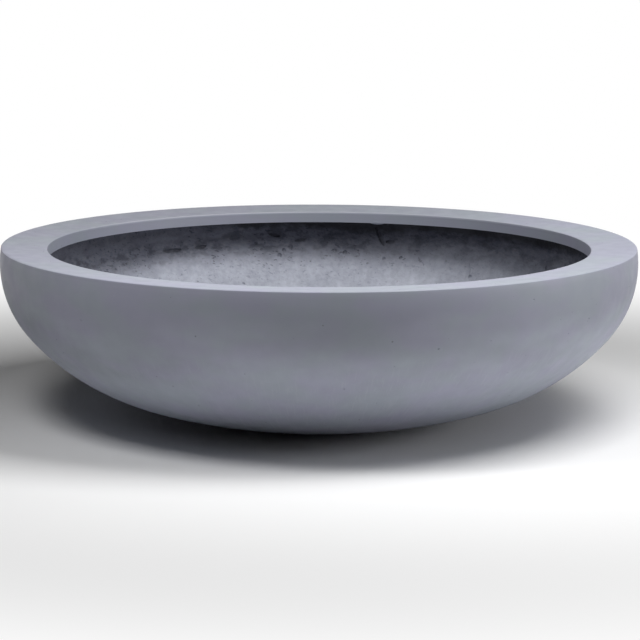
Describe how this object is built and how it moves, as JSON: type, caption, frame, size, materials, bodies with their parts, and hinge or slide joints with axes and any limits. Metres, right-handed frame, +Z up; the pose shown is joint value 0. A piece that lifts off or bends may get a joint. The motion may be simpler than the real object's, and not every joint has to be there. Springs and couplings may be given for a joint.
{
  "type": "bowl planter",
  "caption": "Low round concrete bowl planter with a flat inward-turned rim, a drain hole with a pull-out rubber plug and rubber base pads.",
  "frame": {"origin": "on the floor under the middle of the bowl: the centre of the bounding box at the undersides of the base pads", "axes": "+Z up along the bowl's axis; the bowl is round, so X and Y are free, and the pads lie at 45 degrees between them"},
  "size_m": [0.8029, 0.803, 0.2219],
  "materials": {
    "facing_concrete": "smooth sealed grey fibre concrete, faint clouding, sparse pinholes",
    "glass_fibre_mat": "chopped glass-fibre mat set in cement slurry",
    "backing_concrete": "rough hand-laid grey fibre concrete, trowelled and pitted",
    "plug_rubber": "matt black moulded rubber",
    "pad_rubber": "matt dark grey rubber, self-adhesive"
  },
  "bodies": {
    "bowl": {"facing_shell": "facing_concrete", "fibre_mat": "glass_fibre_mat", "backing_shell": "backing_concrete", "base_pad_1": "pad_rubber", "base_pad_2": "pad_rubber", "base_pad_3": "pad_rubber", "base_pad_4": "pad_rubber"},
    "plug": {"drain_plug": "plug_rubber"}
  },
  "joints": [
    {"name": "plug_pull", "type": "slide", "parent": "bowl", "child": "plug", "axis": [0, 0, 1], "range_m": [0, 0.24]}
  ]
}
